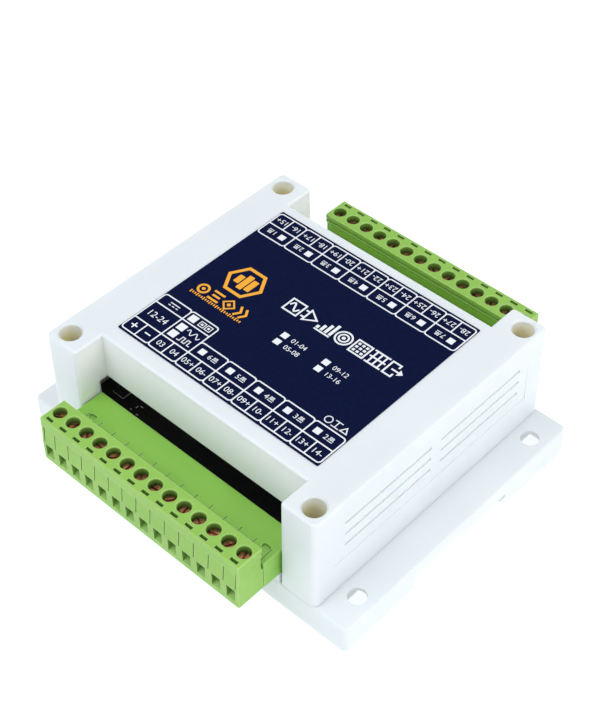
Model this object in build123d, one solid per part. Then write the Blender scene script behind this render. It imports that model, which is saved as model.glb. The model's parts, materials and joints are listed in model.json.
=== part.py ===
"""Rail-mounted PLC input/output module in a two-piece case with two 14-pole pluggable terminal blocks.

Frame: X runs along the terminal rows and the mounting rail, -Y is the power side, +Z is up.
The origin is the centre of the case's underside. All sizes are in millimetres.
"""
from build123d import *
import os

# Case
CASE_LENGTH = 115.0        # over both screw flanges, along X
BODY_LENGTH = 95.0         # the box between the flanges, along X
CASE_DEPTH = 90.0          # along Y
CASE_HEIGHT = 40.0         # to the top of the label
FLANGE_TOP = 8.7
FLANGE_SKIN = 1.2
WALL = 2.0
FLOOR = 2.0
PLAN_RADIUS = 1.8
EDGE_RADIUS = 0.7
COVER_DRAFT = 0.7          # degrees
SEAM_GAP = 0.05
LABEL_THICKNESS = 0.2
LABEL_LENGTH = 70.1
LABEL_DEPTH = 62.4
LABEL_Y = 0.7
LABEL_RADIUS = 0.4
FAR = 200.0                # cutters that go right through reach this far

# The two terminal bays: openings between corner posts
BAY_HALF = 36.0
BAY_WALL_Y = 35.2
BAY_WALL_FOOT = 24.6
BAY_WALL = 1.8
BAY_CORNER_RADIUS = 1.0
POST_NOTCH_Y = 38.0        # below the wall's foot, the posts are cut back to here for the header's ends
POST_POCKET_Y = 36.4       # the hollow inside of the cover runs this far into each post

# Fasteners
CASE_SCREW_X = 42.7
CASE_SCREW_Y = 40.0
WELL_RADIUS = 3.0
WELL_FLOOR = 16.5
WELL_LEDGE = 2.5
WELL_BEVEL = 0.45
CASE_SCREW_HOLE = 1.7
CASE_PILOT = 1.45
CASE_BOSS = 3.4
CASE_BOSS_BORE = 3.7
BOARD_SCREW_X = 41.0
BOARD_SCREW_Y = 23.5
BOARD_SCREW_HOLE = 1.6
BOARD_PILOT = 1.25
BOARD_BOSS = 3.2
BOSS_FOOT = 0.5
PILOT_FLOOR = 3.0
FLANGE_HOLE_X = 52.4
FLANGE_HOLE_Y = 35.0
FLANGE_HOLE_RADIUS = 2.6
FLANGE_RIB_Y = 26.0
FLANGE_RIB = 1.2
SEAT_GAP = 0.02            # under every screw head

# Vent grooves in the two end walls. They are blind.
VENT_LENGTH = 32.0
VENT_HEIGHT = 1.0
VENT_DEPTH = 0.6
VENT_PITCH = 4.1
VENT_ROWS = 3
VENT_MID_Z = 27.7
VENT_MID_Y = 17.9
VENT_PANEL_HALF = 37.6
VENT_PANEL_FOOT = 18.7
VENT_PANEL_HEAD = 36.4
VENT_PANEL_X = 47.2

# The lip that stands on the groove's roof, and that the cover's end walls close over
LIP = 1.1
LIP_HALF_Y = 19.0
LIP_TOP = 10.1
LIP_GAP = 0.1

# Rail groove across the underside, for a 35 mm top-hat rail
GROOVE_FRONT = -19.0
GROOVE_ROOF = 4.4
HOOK_TIP = 16.2
HOOK_TOP = 3.2
HOOK_SLOT = 18.2
HOOK_FOOT = 19.1
ROOF_SKIN = 1.8
GROOVE_DRAFT = 0.3
GROOVE_CHAMFER = 0.6
HOOK_NOSE = 0.5

# Rail clip
CLIP_HALF = 9.9
CLIP_FRONT = -44.6
CLIP_NOSE = -15.8
CLIP_LOW = 0.4
CLIP_TOP = 3.1
CLIP_PLAY = 0.2
WING_REACH = 1.0
WING_LOW = 1.5
WING_TOP = 2.3
WING_FRONT = -41.0
WING_BACK = -21.0
WING_TRAVEL = 3.4
CLIP_TUNNEL_WALL = 3.0
CLIP_TUNNEL_ROOF = 2.0
CLIP_WEDGE = 3.0
CLIP_EDGE = 0.5
DRIVER_SLOT_HALF = 2.2
DRIVER_SLOT = (0.9, 2.1)   # behind the clip's front edge
STOP_HALF = 2.3
STOP_LOW = 0.7
WINDOW_HALF = 2.7
WINDOW_FRONT = -41.0
WINDOW_BACK = -27.0
STOP_FRONT = -38.0
STOP_BACK = -36.8
SPRING_RADIUS = 0.92
SPRING_WIRE = 0.18
SPRING_TURNS = 9
SPRING_AXIS_Z = 1.75
SPRING_GAP = 0.05

# Circuit board
BOARD_TOP = 12.2
BOARD_THICKNESS = 1.6
BOARD_HALF_X = 44.6
BOARD_HALF_Y = 34.6
TONGUE_HALF_X = 35.6
TONGUE_Y = 42.8
FRONT_WALL_TOP = 12.0
PIN_HOLE = 0.8
SOLDER = 0.01              # soldered bodies stand this far above the board

# Terminals
POLES = 14
PITCH = 5.08
HEADER_HALF = 35.6
HEADER_BACK = 38.0
HEADER_MOUTH = 50.2
HEADER_TOP = 21.0
HEADER_EDGE = 0.25
GROOVE_OFFSET = 0.9        # a fine groove in the top of the header stands this far beside each pole
GROOVE_HALF = 0.14
GROOVE_LENGTH = 4.8
GROOVE_DEPTH = 0.25
DIMPLES_X = (-30.5, 32.3)
DIMPLE_Y = 45.8
DIMPLE_LENGTH = 2.5
DIMPLE_WIDTH = 1.6
DIMPLE_DEPTH = 0.6
SOCKET_HALF = 34.75
SOCKET_END = 41.0
SOCKET_LOW = 13.15
SOCKET_TOP = 20.15
PIN = 1.0
PIN_Z = 16.4
PIN_TIP_Y = 49.0
PIN_LEG_Y = 39.6
PIN_LOW = 8.6
PIN_CLEARANCE = 0.1
PIN_TAPER = 0.25
PLUG_HALF = POLES * PITCH / 2
PLUG_TOP = 27.4
PLUG_LOW = 12.1
PLUG_BACK = 50.4
PLUG_FACE = 58.6
PLUG_BELLY = 59.0
BACK_RECESS = 0.5          # its depth; it runs up to a slope that ends at BACK_LEDGE_Z
BACK_RECESS_LOW = 19.6
BACK_RECESS_TOP = 24.0
BACK_LEDGE_Z = 24.8
BACK_GAP = 0.04            # plug to header, below the recess
BACK_GROOVE = (25.2, 26.1)  # a second groove along the plug's back, above the recess
BACK_GROOVE_DEPTH = 0.5
FOOT_CHAMFER = 0.3
TOP_CHAMFER = 0.25
END_CHAMFER = 0.2
END_FRAME = 0.8
PANEL_DEPTH = 0.2
PANEL_RUN_OUT = 0.15       # the front panels grow this much shallower towards their feet
BORDER_DEPTH = 0.35        # the grooves between poles, below the panel
BORDER_HALF = 0.17
BAND_FOOT = 24.3
WINDOW_HEAD = 18.3
NOSE_HALF = 34.55
NOSE_ROOT = 0.5            # of the nose is sunk in the body
NOSE_END = 41.2
NOSE_LOW = 13.35
NOSE_TOP = 19.95
SCREW_Y = 53.9
SCREW_HOLE_RADIUS = 1.9
SCREW_SEAT = 23.9
SCREW_HEAD = 1.55
SCREW_HEAD_GAP = 0.2
SCREW_LIFT = 0.08
SCREW_SHANK = 4.0
SCREW_SLOT = 0.6
SCREW_SLOT_DEPTH = 0.675
SCREW_RIM = 0.22
SHANK_HOLE_RADIUS = 1.3
CAGE_ROOM_TOP = 21.6
CAGE_ROOM_HALF = 1.95
CAGE_ROOM_LOW = PLUG_LOW + 1.1
CAGE_ROOM_FRONT = SCREW_Y + 2.9
CAGE_ROOM_BACK = PLUG_BACK + 0.7
SLOT_ROW_Y = 57.3
PROBE_HALF_X = 1.25
PROBE_HALF_Y = 0.45
PROBE_DEPTH = 4.0
ENTRY_HALF = 1.5
CONTACT_HALF = 1.02
CONTACT_LEAF = 0.4
CONTACT_ROOM_HALF = 1.15
CONTACT_ROOM_HEIGHT = 1.35

FRONT_AND_REAR = {"front": 0, "rear": 180}


def block(x, y, z):
    """A box between three (low, high) pairs."""
    size = Box(x[1] - x[0], y[1] - y[0], z[1] - z[0])
    return Pos((x[0] + x[1]) / 2, (y[0] + y[1]) / 2, (z[0] + z[1]) / 2) * size


def rod(x, y, z, radius):
    """An upright cylinder at x, y between the (low, high) pair z."""
    return Pos(x, y, (z[0] + z[1]) / 2) * Cylinder(radius, z[1] - z[0])


def cone_rim(x, y, top, radius, size):
    """The bevel cut round the top of an upright hole."""
    return Pos(x, y, top - size / 2) * Cone(radius, radius + size, size)


def bar_from_profile(points, x):
    """A closed (y, z) outline extruded along X between the (low, high) pair x."""
    outline = Plane.YZ.offset(x[0]) * make_face(Polyline(*points, close=True))
    return extrude(outline, x[1] - x[0])


def corners(x, y):
    """The four points at plus and minus x and y."""
    return [(side * x, end * y) for side in (-1, 1) for end in (-1, 1)]


def pole_positions():
    """X of each terminal, from pole 1 to the last."""
    return [(i - (POLES - 1) / 2) * PITCH for i in range(POLES)]


def spread(shape, places):
    """Copies of a shape moved to each (x, y, z)."""
    return [Pos(*place) * shape for place in places]


def save(name, shapes, turn=0):
    """Writes one node, turned about Z."""
    shapes = shapes if isinstance(shapes, list) else [shapes]
    solids = [Rot(0, 0, turn) * solid for shape in shapes for solid in shape.solids()]
    whole = solids[0] if len(solids) == 1 else Compound(children=solids)
    whole.label = name
    export_step(whole, f"parts/{name}.step")


# ---------------------------------------------------------------- case

def rail_groove():
    """The groove's section: square at the front, an undercut fixed hook at the back."""
    section = [
        (GROOVE_FRONT - GROOVE_DRAFT, -1), (GROOVE_FRONT, GROOVE_ROOF - GROOVE_CHAMFER),
        (GROOVE_FRONT + GROOVE_CHAMFER, GROOVE_ROOF), (HOOK_SLOT, GROOVE_ROOF), (HOOK_SLOT, HOOK_TOP),
        (HOOK_TIP, HOOK_TOP), (HOOK_TIP, HOOK_TOP - HOOK_NOSE), (HOOK_FOOT, 0), (HOOK_FOOT, -1),
    ]
    return bar_from_profile(section, (-CASE_LENGTH, CASE_LENGTH))


def clip_channel():
    """The space that the rail clip slides in, with side grooves for its wings."""
    front = -CASE_DEPTH / 2 - 1
    half = CLIP_HALF + CLIP_PLAY
    slide = block((-half, half), (front, GROOVE_FRONT + 1), (-1, CLIP_TOP + CLIP_PLAY))
    wing = half + WING_REACH
    wing_y = (WING_FRONT - WING_TRAVEL, WING_BACK + 0.1)
    return slide + block((-wing, wing), wing_y, (WING_LOW - CLIP_PLAY, WING_TOP + CLIP_PLAY))


def make_base_shell():
    """The moulded tray: flanges, rail groove, clip tunnel, screw bosses and the lip for the cover."""
    half_x = BODY_LENGTH / 2
    half_y = CASE_DEPTH / 2
    inner_x = half_x - WALL
    inner_y = half_y - WALL
    board_foot = BOARD_TOP - BOARD_THICKNESS
    shell = extrude(RectangleRounded(CASE_LENGTH, CASE_DEPTH, PLAN_RADIUS), FLANGE_TOP)
    shell = fillet(shell.faces().sort_by(Axis.Z)[-1].edges(), EDGE_RADIUS)
    for side in (-1, 1):
        under = sorted((side * half_x, side * (CASE_LENGTH / 2 - WALL)))
        shell -= block(under, (-half_y + WALL, half_y - WALL), (-1, FLANGE_TOP - FLANGE_SKIN))
        for y in (-FLANGE_RIB_Y, FLANGE_RIB_Y):
            rib_y = (y - FLANGE_RIB / 2, y + FLANGE_RIB / 2)
            shell += block(under, rib_y, (BOSS_FOOT, FLANGE_TOP - FLANGE_SKIN))

    shell -= block((-inner_x, inner_x), (-inner_y, inner_y), (FLOOR, FAR))
    groove_y = (GROOVE_FRONT - WALL, HOOK_FOOT + WALL)
    shell += block((-inner_x, inner_x), groove_y, (0, GROOVE_ROOF + ROOF_SKIN))
    tunnel = CLIP_HALF + CLIP_TUNNEL_WALL
    shell += block((-tunnel, tunnel), (-inner_y, GROOVE_FRONT), (0, CLIP_TOP + CLIP_TUNNEL_ROOF))
    shell -= rail_groove()
    shell -= clip_channel()
    shell += block((-STOP_HALF, STOP_HALF), (STOP_FRONT, STOP_BACK), (STOP_LOW, CLIP_TOP + 2 * CLIP_PLAY))

    for end in (-1, 1):
        wall_y = sorted((end * half_y, end * (inner_y + CLIP_PLAY)))
        shell += block((-HEADER_HALF, HEADER_HALF), wall_y, (FLANGE_TOP, FRONT_WALL_TOP))
    trim_x = half_x - BOSS_FOOT
    trim_y = half_y - BOSS_FOOT
    inside = block((-trim_x, trim_x), (-trim_y, trim_y), (0, FAR))
    for x, y in corners(CASE_SCREW_X, CASE_SCREW_Y):
        shell += rod(x, y, (BOSS_FOOT, WELL_FLOOR - WELL_LEDGE - LIP_GAP), CASE_BOSS) & inside
        shell -= rod(x, y, (PILOT_FLOOR, FAR), CASE_PILOT)
    for x, y in corners(BOARD_SCREW_X, BOARD_SCREW_Y):
        shell += rod(x, y, (BOSS_FOOT, board_foot), BOARD_BOSS)
        shell -= rod(x, y, (PILOT_FLOOR, FAR), BOARD_PILOT)
    lip_x = inner_x - LIP_GAP
    for side in (-1, 1):
        lip = sorted((side * lip_x, side * (lip_x - LIP)))
        shell += block(lip, (-LIP_HALF_Y, LIP_HALF_Y), (GROOVE_ROOF + ROOF_SKIN / 2, LIP_TOP))
    for x, y in corners(FLANGE_HOLE_X, FLANGE_HOLE_Y):
        shell -= rod(x, y, (-1, FAR), FLANGE_HOLE_RADIUS)
    return shell


def cover_outside():
    """The cover's drafted block with its two bays and rounded edges, before it is hollowed."""
    top = CASE_HEIGHT - LABEL_THICKNESS
    foot = FLANGE_TOP + SEAM_GAP
    outline = Pos(0, 0, foot) * RectangleRounded(BODY_LENGTH, CASE_DEPTH, PLAN_RADIUS)
    cover = extrude(outline, top - foot, taper=COVER_DRAFT)
    for end in (-1, 1):
        cover -= block((-BAY_HALF, BAY_HALF), sorted((end * BAY_WALL_Y, end * FAR)), (0, FAR))
    upright = cover.edges().filter_by(lambda edge: abs(edge.tangent_at(0.5).Z) > 0.9)
    beside_bay = upright.filter_by(lambda edge: abs(abs(edge.center().X) - BAY_HALF) < 0.1)
    post_corners = beside_bay.filter_by(lambda edge: abs(edge.center().Y) > CASE_SCREW_Y)
    cover = fillet(post_corners, BAY_CORNER_RADIUS)
    return fillet(cover.faces().sort_by(Axis.Z)[-1].edges(), EDGE_RADIUS)


def make_top_cover():
    """The moulded cover: hollow, with corner posts, screw wells and vent grooves."""
    cover = cover_outside()
    top = CASE_HEIGHT - LABEL_THICKNESS
    roof = top - WALL
    inner_x = BODY_LENGTH / 2 - WALL
    inner_y = BAY_WALL_Y - BAY_WALL
    overlap_y = inner_y - LIP_GAP
    post_x = BAY_HALF + BAY_WALL
    cover -= block((-inner_x, inner_x), (-inner_y, inner_y), (0, roof))
    for end in (-1, 1):
        cover -= block((-BAY_HALF, BAY_HALF), sorted((end * overlap_y, end * FAR)), (0, BAY_WALL_FOOT))
        pocket_y = sorted((end * overlap_y, end * POST_POCKET_Y))
        notch_y = sorted((end * overlap_y, end * POST_NOTCH_Y))
        for side in (-1, 1):
            cover -= block(sorted((side * post_x, side * inner_x)), pocket_y, (0, roof))
            notch_x = sorted((side * (BAY_HALF - 1), side * (post_x + LIP_GAP)))
            cover -= block(notch_x, notch_y, (0, BAY_WALL_FOOT))
    for x, y in corners(CASE_SCREW_X, CASE_SCREW_Y):
        cover -= rod(x, y, (0, WELL_FLOOR - WELL_LEDGE), CASE_BOSS_BORE)
        cover -= rod(x, y, (0, FAR), CASE_SCREW_HOLE)
        cover -= rod(x, y, (WELL_FLOOR, FAR), WELL_RADIUS)
        cover -= cone_rim(x, y, top, WELL_RADIUS, WELL_BEVEL)

    for side in (-1, 1):
        panel_x = sorted((side * VENT_PANEL_X, side * FAR))
        cover -= block(panel_x, (-VENT_PANEL_HALF, VENT_PANEL_HALF), (VENT_PANEL_FOOT, VENT_PANEL_HEAD))
        groove_x = sorted((side * (VENT_PANEL_X - VENT_DEPTH), side * FAR))
        for row in range(VENT_ROWS):
            z = VENT_MID_Z + (row - (VENT_ROWS - 1) / 2) * VENT_PITCH
            groove_z = (z - VENT_HEIGHT / 2, z + VENT_HEIGHT / 2)
            for y in (-VENT_MID_Y, VENT_MID_Y):
                cover -= block(groove_x, (y - VENT_LENGTH / 2, y + VENT_LENGTH / 2), groove_z)
    return cover


def make_label():
    """The printed film that lies on the cover."""
    sheet = RectangleRounded(LABEL_LENGTH, LABEL_DEPTH, LABEL_RADIUS)
    return extrude(Pos(0, LABEL_Y, CASE_HEIGHT - LABEL_THICKNESS) * sheet, LABEL_THICKNESS)


def cross_head_screw(head_radius, head_height, shank_radius, shank_length):
    """A pan-head screw with a cross recess. Its seat is at the origin and its head is above it."""
    head = Pos(0, 0, head_height / 2) * Cylinder(head_radius, head_height)
    head = fillet(head.edges().sort_by(Axis.Z)[-1], head_height * 0.3)
    recess = Box(head_radius * 1.1, head_radius * 0.22, head_height)
    for angle in (45, 135):
        head -= Pos(0, 0, head_height) * Rot(0, 0, angle) * recess
    neck = head_height / 4
    shank = Pos(0, 0, (neck - shank_length) / 2) * Cylinder(shank_radius, shank_length + neck)
    return head + shank


def make_case_screws():
    """Self-tapping screws at the bottom of the four wells."""
    seats = [(x, y, WELL_FLOOR + SEAT_GAP) for x, y in corners(CASE_SCREW_X, CASE_SCREW_Y)]
    return spread(cross_head_screw(2.75, 2.2, 1.4, 12.5), seats)


def make_board_screws():
    """Short self-tapping screws that hold the board on its four bosses."""
    seats = [(x, y, BOARD_TOP + SEAT_GAP) for x, y in corners(BOARD_SCREW_X, BOARD_SCREW_Y)]
    return spread(cross_head_screw(2.4, 1.8, 1.2, 7.2), seats)


# ---------------------------------------------------------------- rail clip

def make_din_clip():
    """A flat slider with guide wings, a wedge nose, a spring window and a screwdriver slot."""
    profile = [
        (CLIP_FRONT, CLIP_LOW), (CLIP_NOSE - CLIP_WEDGE, CLIP_LOW), (CLIP_NOSE, CLIP_TOP - CLIP_EDGE),
        (CLIP_NOSE, CLIP_TOP), (CLIP_FRONT, CLIP_TOP),
    ]
    clip = bar_from_profile(profile, (-CLIP_HALF, CLIP_HALF))
    wing = CLIP_HALF + WING_REACH
    clip += block((-wing, wing), (WING_FRONT, WING_BACK), (WING_LOW, WING_TOP))
    clip -= block((-WINDOW_HALF, WINDOW_HALF), (WINDOW_FRONT, WINDOW_BACK), (0, FAR))
    slot_y = (CLIP_FRONT + DRIVER_SLOT[0], CLIP_FRONT + DRIVER_SLOT[1])
    clip -= block((-DRIVER_SLOT_HALF, DRIVER_SLOT_HALF), slot_y, (0, FAR))
    return clip


def make_clip_spring():
    """A compression spring between the stop on the base and the back of the clip's window."""
    end_gap = SPRING_WIRE + SPRING_GAP
    length = WINDOW_BACK - STOP_BACK - 2 * end_gap
    coil = Helix(pitch=length / SPRING_TURNS, height=length, radius=SPRING_RADIUS)
    section = Plane(coil @ 0, z_dir=coil % 0) * Circle(SPRING_WIRE)
    wire = sweep(section, path=coil, is_frenet=True)
    return Pos(0, STOP_BACK + end_gap, SPRING_AXIS_Z) * Rot(-90, 0, 0) * wire


# ---------------------------------------------------------------- circuit board and what is soldered to it

def make_pcb():
    """The board, with a tongue under each header and holes for its screws and pins."""
    z = (BOARD_TOP - BOARD_THICKNESS, BOARD_TOP)
    board = block((-BOARD_HALF_X, BOARD_HALF_X), (-BOARD_HALF_Y, BOARD_HALF_Y), z)
    board += block((-TONGUE_HALF_X, TONGUE_HALF_X), (-TONGUE_Y, TONGUE_Y), z)
    for x, y in corners(BOARD_SCREW_X, BOARD_SCREW_Y):
        board -= rod(x, y, (0, FAR), BOARD_SCREW_HOLE)
    for x in pole_positions():
        for y in (-PIN_LEG_Y, PIN_LEG_Y):
            board -= rod(x, y, (0, FAR), PIN_HOLE)
    return board


def soldered(shape, places):
    """Copies of a board part, whose foot is at the origin, at each (x, y) on the board."""
    return spread(shape, [(x, y, BOARD_TOP + SOLDER) for x, y in places])


def gull_wing_package(length, width, height, leads, pitch, four_sides=False):
    """A moulded chip with flat leads along its sides, its foot at the origin."""
    lead_half = 0.2
    lead_reach = 1.0
    lead_z = (0, 0.24)
    body = block((-length / 2, length / 2), (-width / 2, width / 2), (0.1, height))
    body = chamfer(body.faces().sort_by(Axis.Z)[-1].edges(), 0.15)
    for i in range(leads):
        at = (i - (leads - 1) / 2) * pitch
        across = (at - lead_half, at + lead_half)
        body += block(across, (-width / 2 - lead_reach, width / 2 + lead_reach), lead_z)
        if four_sides:
            body += block((-length / 2 - lead_reach, length / 2 + lead_reach), across, lead_z)
    return body


def make_electrolytic_capacitors():
    """Two aluminium cans on square moulded bases."""
    radius = 4.0
    height = 10.4
    base = block((-radius - 0.1, radius + 0.1), (-radius - 0.1, radius + 0.1), (0, 1.2))
    can = fillet(rod(0, 0, (1.0, height), radius).edges().sort_by(Axis.Z)[-1], 0.5)
    return soldered(base + can, [(-30.0, -20.5), (-18.5, -20.5)])


def make_crystal():
    """A low oval can."""
    can = extrude(SlotOverall(11.0, 4.6), 3.5)
    return soldered(chamfer(can.faces().sort_by(Axis.Z)[-1].edges(), 0.3), [(13.0, -2.0)])


def make_power_inductor():
    """A shielded square inductor with a ring-shaped gap in its top."""
    half = 5.0
    height = 5.0
    ring_depth = (height - 0.5, height + 1.0)
    body = block((-half, half), (-half, half), (0, height))
    body = chamfer(body.edges().filter_by(Axis.Z), 1.5)
    body -= rod(0, 0, ring_depth, 4.2) - rod(0, 0, ring_depth, 3.7)
    return soldered(body, [(2.0, -20.0)])


def make_dc_dc_module():
    """A potted isolating supply standing on edge on a row of pins."""
    length = 19.5
    depth = 6.2
    pins = 6
    pin_pitch = 2.54
    body = block((-length / 2, length / 2), (-depth / 2, depth / 2), (0.4, 10.4))
    body = chamfer(body.faces().sort_by(Axis.Z)[-1].edges(), 0.4)
    for i in range(pins):
        x = i * pin_pitch - length / 2 + 2.0
        body += block((x - 0.3, x + 0.3), (-0.3, 0.3), (0, 1.0))
    return soldered(body, [(23.75, -22.4)])


def make_input_fuse():
    """A resettable fuse beside the supply terminals: a flat chip with raised end caps."""
    body = block((-1.4, 1.4), (-1.2, 1.2), (0, 0.8))
    for side in (-1, 1):
        body += block(sorted((side * 1.2, side * 1.7)), (-1.2, 1.2), (0, 0.95))
    return soldered(body, [(-38.2, -29.4)])


def make_smd_passives():
    """Chip resistors and capacitors in two rows beside the output amplifiers."""
    per_row = 12
    spacing = 5.6
    chip = block((-1.0, 1.0), (-0.6, 0.6), (0, 0.65))
    row = [(i - (per_row - 1) / 2) * spacing for i in range(per_row)]
    return soldered(chip, [(x, y) for x in row for y in (12.5, 26.0)])


# ---------------------------------------------------------------- terminals: front set, turned for the rear

def make_header():
    """Right-angle socket housing open towards -Y."""
    housing = block((-HEADER_HALF, HEADER_HALF), (-HEADER_MOUTH, -HEADER_BACK), (BOARD_TOP, HEADER_TOP))
    housing = chamfer(housing.faces().sort_by(Axis.Z)[-1].edges(), HEADER_EDGE)
    housing -= block((-SOCKET_HALF, SOCKET_HALF), (-FAR, -SOCKET_END), (SOCKET_LOW, SOCKET_TOP))
    pin_half = PIN / 2 + PIN_CLEARANCE
    leg_y = (-SOCKET_END - PIN_CLEARANCE, -PIN_LEG_Y + pin_half)
    groove_z = (HEADER_TOP - GROOVE_DEPTH, FAR)
    for x in pole_positions():
        housing -= block((x - pin_half, x + pin_half), leg_y, (0, PIN_Z + pin_half))
        groove_x = (x + GROOVE_OFFSET - GROOVE_HALF, x + GROOVE_OFFSET + GROOVE_HALF)
        housing -= block(groove_x, (-FAR, -HEADER_MOUTH + GROOVE_LENGTH), groove_z)
    dimple = extrude(SlotOverall(DIMPLE_LENGTH, DIMPLE_WIDTH), 1)
    for x in DIMPLES_X:
        housing -= Pos(x, -DIMPLE_Y, HEADER_TOP - DIMPLE_DEPTH) * dimple
    return housing


def make_header_pins():
    """One bent square pin for each pole."""
    half = PIN / 2
    blade = block((-half, half), (-PIN_TIP_Y, -PIN_LEG_Y + half), (PIN_Z - half, PIN_Z + half))
    blade = chamfer(blade.faces().sort_by(Axis.Y)[0].edges(), PIN_TAPER)
    leg = block((-half, half), (-PIN_LEG_Y - half, -PIN_LEG_Y + half), (PIN_LOW, PIN_Z + half))
    return spread(blade + leg, [(x, 0, 0) for x in pole_positions()])


def plug_body():
    """The plug's outside: screw block in front of the socket, and the nose that goes into it."""
    foot_back = HEADER_MOUTH + BACK_GAP
    recess = PLUG_BACK + BACK_RECESS
    section = [
        (-PLUG_BACK, PLUG_TOP), (-PLUG_FACE + TOP_CHAMFER, PLUG_TOP), (-PLUG_FACE, PLUG_TOP - TOP_CHAMFER),
        (-PLUG_FACE, BAND_FOOT), (-PLUG_BELLY, WINDOW_HEAD), (-PLUG_BELLY, PLUG_LOW + FOOT_CHAMFER),
        (-PLUG_BELLY + FOOT_CHAMFER, PLUG_LOW), (-foot_back, PLUG_LOW), (-foot_back, BACK_RECESS_LOW),
        (-recess, BACK_RECESS_LOW), (-recess, BACK_RECESS_TOP), (-PLUG_BACK, BACK_LEDGE_Z),
    ]
    body = bar_from_profile(section, (-PLUG_HALF, PLUG_HALF))
    ends = body.faces().filter_by(Axis.X)
    body = chamfer([edge for face in ends for edge in face.edges()], END_CHAMFER)
    body -= block((-FAR, FAR), (-PLUG_BACK - BACK_GROOVE_DEPTH, 0), BACK_GROOVE)
    nose = block((-NOSE_HALF, NOSE_HALF), (-recess - NOSE_ROOT, -NOSE_END), (NOSE_LOW, NOSE_TOP))
    return body + chamfer(nose.faces().sort_by(Axis.Y)[-1].edges(), 0.3)


def front_recess(depth, low, x):
    """A shallow cut in the plug's sloping front between z = low and the band, this deep, along x."""
    top_y = -PLUG_FACE + depth
    low_y = -PLUG_BELLY + depth - PANEL_RUN_OUT
    section = [(-FAR, BAND_FOOT), (top_y, BAND_FOOT), (low_y, low), (-FAR, low)]
    return bar_from_profile(section, x)


def wire_entry(x):
    """A square wire entry whose floor slopes up to the clamp cage."""
    floor = PLUG_LOW + 2.9
    room = -CAGE_ROOM_FRONT + 0.1
    section = [
        (-FAR, PLUG_LOW + 1.7), (-PLUG_BELLY, PLUG_LOW + 1.7), (-CAGE_ROOM_FRONT - 0.3, floor),
        (room, floor), (room, WINDOW_HEAD), (-FAR, WINDOW_HEAD),
    ]
    return bar_from_profile(section, (x - ENTRY_HALF, x + ENTRY_HALF))


def make_plug():
    """Plug housing with, at each pole, a wire entry, cage room, screw hole, probe slot and contact room."""
    plug = plug_body()
    panel_low = WINDOW_HEAD + 0.7
    panel_half = PLUG_HALF - END_FRAME
    plug -= front_recess(PANEL_DEPTH, panel_low, (-panel_half, panel_half))
    frame_x = panel_half - BORDER_HALF
    borders = [(i - POLES / 2) * PITCH for i in range(1, POLES)] + [-frame_x, frame_x]
    for x in borders:
        plug -= front_recess(PANEL_DEPTH + BORDER_DEPTH, panel_low, (x - BORDER_HALF, x + BORDER_HALF))

    cage_y = (-CAGE_ROOM_FRONT, -CAGE_ROOM_BACK)
    probe_y = (-SLOT_ROW_Y - PROBE_HALF_Y, -SLOT_ROW_Y + PROBE_HALF_Y)
    contact_y = (-CAGE_ROOM_BACK - 0.1, -NOSE_END + 1)
    contact_z = (PIN_Z - CONTACT_ROOM_HEIGHT, PIN_Z + CONTACT_ROOM_HEIGHT)
    for x in pole_positions():
        plug -= wire_entry(x)
        plug -= block((x - CAGE_ROOM_HALF, x + CAGE_ROOM_HALF), cage_y, (CAGE_ROOM_LOW, CAGE_ROOM_TOP))
        plug -= rod(x, -SCREW_Y, (CAGE_ROOM_TOP - 0.1, FAR), SHANK_HOLE_RADIUS)
        plug -= rod(x, -SCREW_Y, (SCREW_SEAT, FAR), SCREW_HOLE_RADIUS)
        plug -= cone_rim(x, -SCREW_Y, PLUG_TOP, SCREW_HOLE_RADIUS, SCREW_RIM)
        plug -= block((x - PROBE_HALF_X, x + PROBE_HALF_X), probe_y, (PLUG_TOP - PROBE_DEPTH, FAR))
        plug -= block((x - CONTACT_ROOM_HALF, x + CONTACT_ROOM_HALF), contact_y, contact_z)
    return plug


def make_clamp_cages():
    """Square steel yokes that rise under the screws and grip the wires."""
    side = 0.45
    low = PLUG_LOW + 1.3
    top = CAGE_ROOM_TOP - 0.3
    y = (-CAGE_ROOM_FRONT + 0.3, -SCREW_Y + 2.1)
    half = CAGE_ROOM_HALF - 0.15
    cage = block((-half, half), y, (low, top))
    cage -= block((side - half, half - side), (-FAR, FAR), (low + 0.6, top - 1.2))
    cage -= rod(0, -SCREW_Y, (top - 2, FAR), SHANK_HOLE_RADIUS)
    return spread(cage, [(x, 0, 0) for x in pole_positions()])


def make_contacts():
    """Tin-plated forks: a bar inside the cage, a web, and two leaves that slide over the pin."""
    web_y = (-PLUG_BACK - 1.25, -PLUG_BACK - 0.75)
    leaf_end = -NOSE_END - 0.8
    bar_z = (PIN_Z + 2.1, PIN_Z + 2.8)
    contact = block((-CONTACT_HALF, CONTACT_HALF), web_y, (PIN_Z - 1.0, bar_z[1]))
    contact += block((-CONTACT_HALF, CONTACT_HALF), (-SCREW_Y - 2.4, web_y[1]), bar_z)
    for side in (-1, 1):
        leaf_x = sorted((side * (CONTACT_HALF - CONTACT_LEAF), side * CONTACT_HALF))
        contact += block(leaf_x, (web_y[0], leaf_end), (PIN_Z - 1.0, PIN_Z + 1.0))
    return spread(contact, [(x, 0, 0) for x in pole_positions()])


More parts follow.
